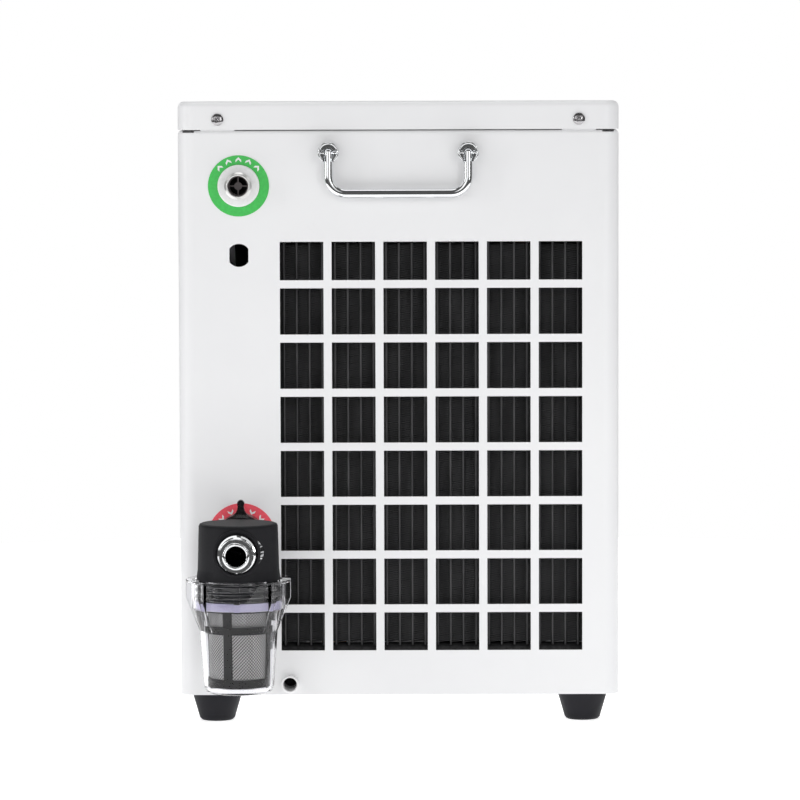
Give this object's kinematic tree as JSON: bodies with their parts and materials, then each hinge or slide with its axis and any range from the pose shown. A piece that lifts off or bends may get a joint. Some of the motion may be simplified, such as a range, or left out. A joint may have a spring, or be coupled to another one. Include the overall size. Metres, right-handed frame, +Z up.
{
  "type": "water chiller",
  "caption": "Refrigerated water chiller for an ice bath: white sheet-metal casing, punched grille over a flat-tube condenser, clear-bowl inlet strainer, outlet, drain and drop handles.",
  "frame": {"origin": "on the floor plane, under the middle of the casing's footprint", "axes": "+Z up, -Y out of the connection panel with the water ports, +X to the right seen from that side"},
  "size_m": [0.34, 0.5954, 0.4813],
  "materials": {
    "white_coat": "fine powder coat, satin",
    "pan_zinc": "powder coat",
    "screw_zinc": "zinc plated",
    "black_rubber": "matt moulded rubber",
    "polished_chrome": "polished",
    "plated_brass": "nickel plated, bright",
    "green_vinyl": "printed vinyl",
    "red_vinyl": "printed vinyl",
    "white_plastic": "moulded, glossy",
    "grey_plastic": "moulded, matt",
    "charcoal_plastic": "moulded glass-filled nylon, fine grain",
    "black_plastic": "moulded, semi-gloss",
    "clear_bowl": "clear moulded polycarbonate",
    "lilac_seal": "translucent silicone",
    "steel_mesh": "woven wire",
    "dark_aluminium": "black coated",
    "black_wire": "black coated",
    "black_steel": "black enamel",
    "pvc_grey": "moulded PVC",
    "hose_rubber": "smooth hose",
    "copper": "drawn tube",
    "display_window": "smoked window",
    "brass_pin": "plain"
  },
  "bodies": {
    "casing": {"base_pan": "pan_zinc", "connection_panel": "white_coat", "fan_panel": "white_coat", "left_side_panel": "white_coat", "right_side_panel": "white_coat", "top_lid": "white_coat", "panel_screws": "screw_zinc", "front_left_foot": "black_rubber", "front_right_foot": "black_rubber", "rear_left_foot": "black_rubber", "rear_right_foot": "black_rubber", "foot_bolts": "screw_zinc", "handle_ferrules": "polished_chrome", "handle_pins": "polished_chrome", "outlet_label": "green_vinyl", "outlet_flange": "white_plastic", "outlet_stub": "plated_brass", "outlet_spider": "grey_plastic", "port_backnuts": "white_plastic", "inlet_label": "red_vinyl", "inlet_flange": "white_plastic", "inlet_stub": "plated_brass", "strainer_tail": "black_plastic", "strainer_head": "charcoal_plastic", "strainer_nipple": "polished_chrome", "drain_spigot": "white_plastic", "condenser_tubes": "dark_aluminium", "condenser_fins": "dark_aluminium", "condenser_headers": "dark_aluminium", "fan_guard": "black_wire", "fan_motor": "black_steel", "compressor": "black_steel", "compressor_grommets": "black_rubber", "evaporator_vessel": "pvc_grey", "pump_housing": "black_plastic", "pump_motor": "black_steel", "inlet_hose": "hose_rubber", "pump_hose": "hose_rubber", "outlet_hose": "hose_rubber", "drain_hose": "hose_rubber", "suction_line": "copper", "discharge_line": "copper", "liquid_line": "copper", "electrical_box": "grey_plastic", "controller_housing": "black_plastic", "controller_window": "display_window", "power_inlet": "black_plastic", "power_pins": "brass_pin"},
    "front_handle": {"front_handle": "polished_chrome"},
    "rear_handle": {"rear_handle": "polished_chrome"},
    "fan": {"fan_rotor": "black_plastic"},
    "union_nut": {"union_nut": "black_plastic"},
    "basket": {"basket_frame": "black_plastic", "basket_mesh": "steel_mesh", "bowl_gasket": "lilac_seal"},
    "bowl": {"strainer_bowl": "clear_bowl"},
    "rocker": {"rocker_switch": "black_plastic"},
    "power_button": {"power_button": "grey_plastic"},
    "up_button": {"up_button": "grey_plastic"},
    "down_button": {"down_button": "grey_plastic"}
  },
  "joints": [
    {"name": "front_handle_swing", "type": "hinge", "parent": "casing", "child": "front_handle", "pos_m": [0, -0.2372, 0.442], "axis": [-1, 0, 0], "range_deg": [0, 90]},
    {"name": "rear_handle_swing", "type": "hinge", "parent": "casing", "child": "rear_handle", "pos_m": [0, 0.2372, 0.442], "axis": [1, 0, 0], "range_deg": [0, 90]},
    {"name": "fan_spin", "type": "hinge", "parent": "casing", "child": "fan", "pos_m": [0.025, 0.189, 0.192], "axis": [0, 1, 0], "continuous": true},
    {"name": "union_nut_turn", "type": "hinge", "parent": "casing", "child": "union_nut", "pos_m": [-0.122, -0.246, 0.145], "axis": [0, -1, 0], "range_deg": [0, 720]},
    {"name": "bowl_lower", "type": "slide", "parent": "casing", "child": "basket", "axis": [0, 0, -1], "range_m": [0, 0.012]},
    {"name": "bowl_turn", "type": "hinge", "parent": "basket", "child": "bowl", "pos_m": [-0.122, -0.3, 0.08], "axis": [0, 0, -1], "range_deg": [0, 1080]},
    {"name": "rocker_press", "type": "hinge", "parent": "casing", "child": "rocker", "pos_m": [0.086, 0.2295, 0.3535], "axis": [-1, 0, 0], "range_deg": [0, 16]},
    {"name": "power_button_press", "type": "slide", "parent": "casing", "child": "power_button", "axis": [0, -1, 0], "range_m": [0, 0.0008], "stiffness_N_per_m": 400, "springref_m": -0.0004},
    {"name": "up_button_press", "type": "slide", "parent": "casing", "child": "up_button", "axis": [0, -1, 0], "range_m": [0, 0.0008], "stiffness_N_per_m": 400, "springref_m": -0.0004},
    {"name": "down_button_press", "type": "slide", "parent": "casing", "child": "down_button", "axis": [0, -1, 0], "range_m": [0, 0.0008], "stiffness_N_per_m": 400, "springref_m": -0.0004}
  ],
  "couplings": [
    {"joint": "bowl_lower", "follows": "bowl_turn", "m_per_rad": 0.00063662}
  ]
}
